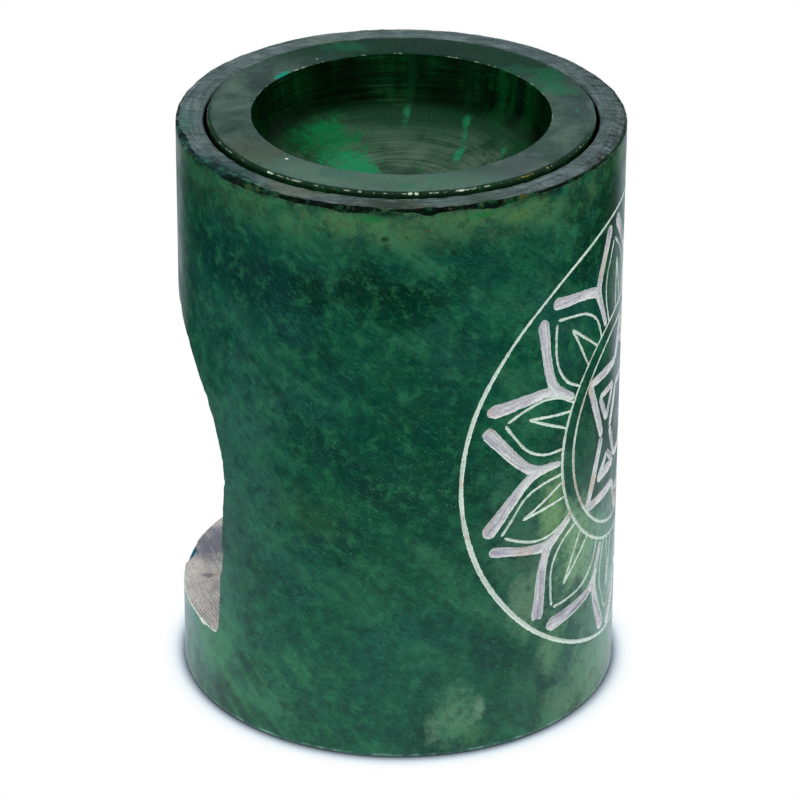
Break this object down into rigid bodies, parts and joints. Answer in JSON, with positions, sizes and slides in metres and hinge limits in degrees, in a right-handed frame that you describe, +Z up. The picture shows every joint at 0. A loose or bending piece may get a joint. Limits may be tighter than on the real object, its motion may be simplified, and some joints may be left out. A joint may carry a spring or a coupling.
{
  "type": "oil burner",
  "caption": "Dyed soapstone oil burner: a round engraved body with a tealight arch and a loose oil dish let into its top.",
  "frame": {"origin": "centre of the base, on the surface that the burner stands on", "axes": "+Z up along the burner's axis, the engraved lotus faces -Y, the tealight arch faces +Y"},
  "size_m": [0.07, 0.07, 0.0956],
  "materials": {
    "dyed_soapstone": "dyed green, waxed",
    "dish_soapstone": "dyed green, polished",
    "cup_aluminium": "drawn, fluted",
    "candle_wax": "cast wax",
    "cotton_wick": "waxed braid",
    "tinned_steel": "tinned"
  },
  "bodies": {
    "burner": {"burner_body": "dyed_soapstone"},
    "dish": {"oil_dish": "dish_soapstone"},
    "tealight": {"tealight_cup": "cup_aluminium", "tealight_wax": "candle_wax", "tealight_wick": "cotton_wick", "wick_sustainer": "tinned_steel"}
  },
  "joints": [
    {"name": "dish_lift", "type": "slide", "parent": "burner", "child": "dish", "axis": [0, 0, 1], "range_m": [0, 0.03]},
    {"name": "tealight_slide", "type": "slide", "parent": "burner", "child": "tealight", "axis": [0, 1, 0], "range_m": [0, 0.06]}
  ]
}
